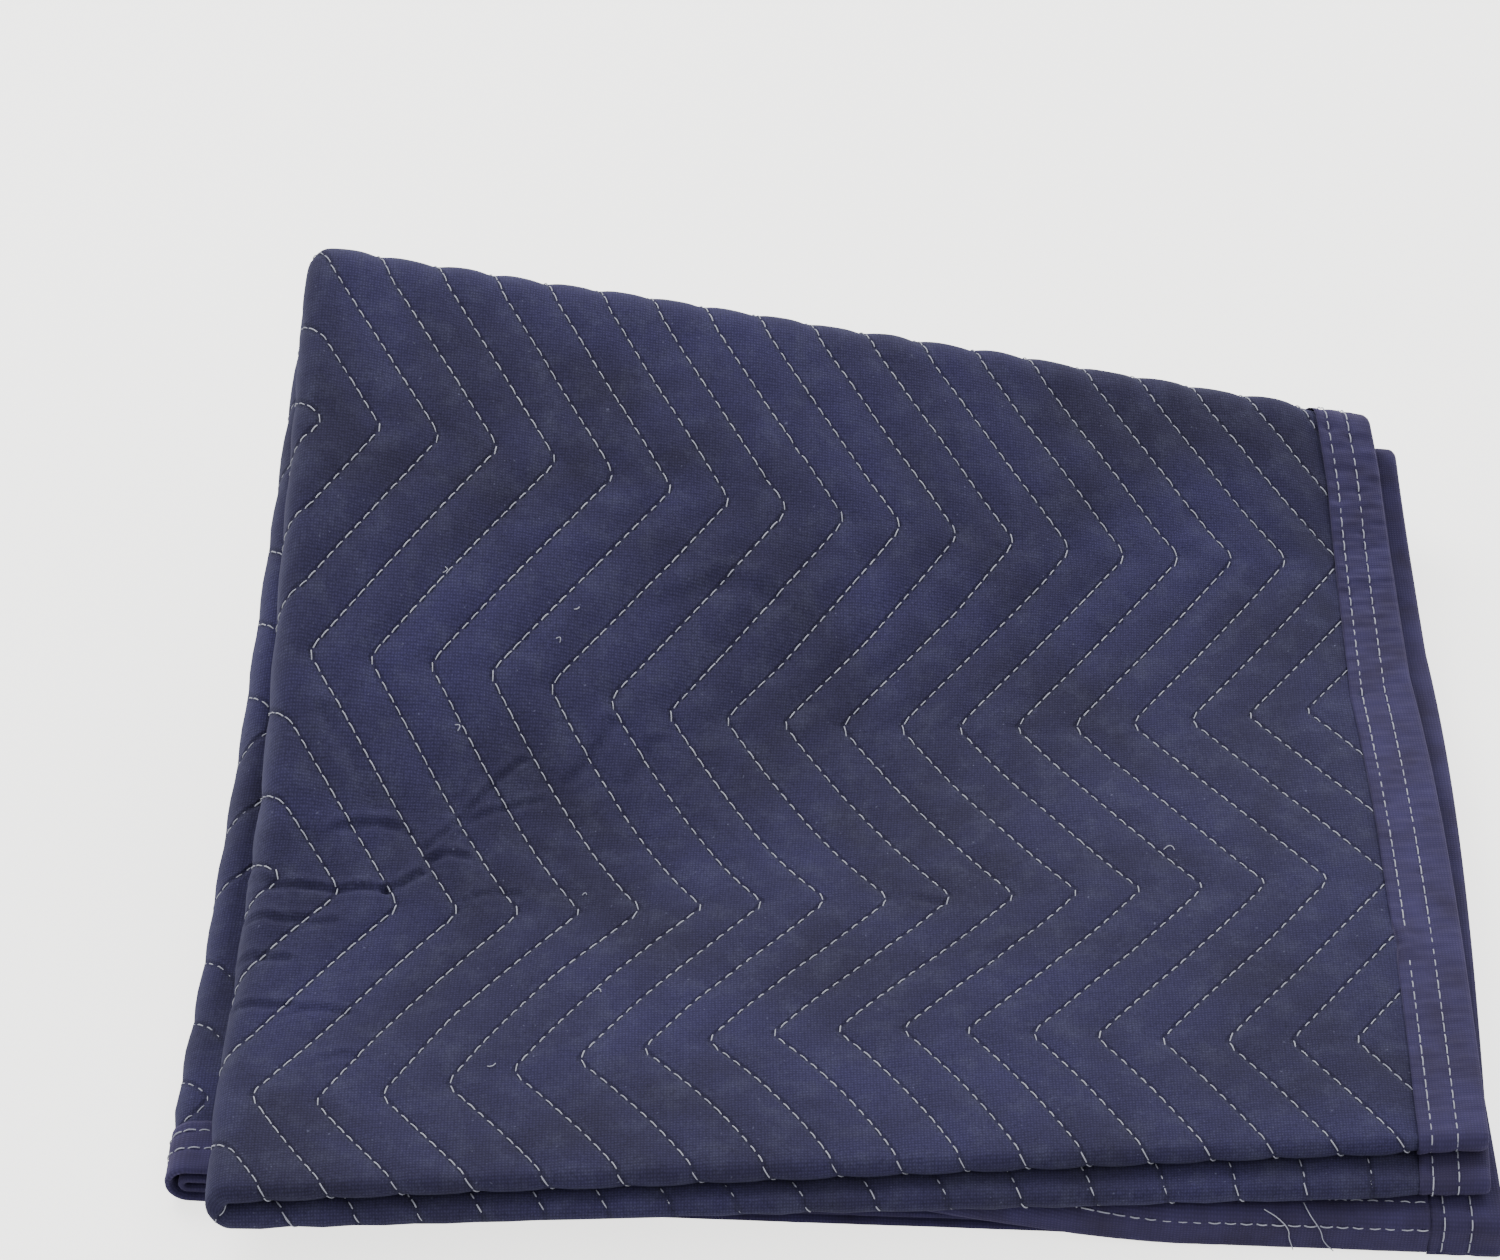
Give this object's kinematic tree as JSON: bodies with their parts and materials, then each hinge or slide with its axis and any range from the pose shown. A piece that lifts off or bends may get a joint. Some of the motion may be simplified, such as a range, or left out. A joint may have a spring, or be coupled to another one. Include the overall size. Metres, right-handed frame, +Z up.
{
  "type": "moving blanket",
  "caption": "Quilted padded blanket with sewn edge binding, folded into a flat stack with one corner raised, for wrapping furniture in a move",
  "frame": {"origin": "On the flat underside of the folded stack, in front of the crease, where it rests on the ground", "axes": "+Z up out of the stack, +Y from the folded front edge to the back, +X towards the open edge where the bindings show"},
  "size_m": [0.5369, 0.482, 0.1869],
  "materials": {
    "shell": "dark navy woven shell, dull",
    "binding": "navy woven tape with a slight purple cast, dull"
  },
  "bodies": {
    "root": {"quilt": "shell", "binding_long_1": "binding", "binding_long_2": "binding", "binding_short_1": "binding", "binding_short_2": "binding"}
  },
  "joints": []
}
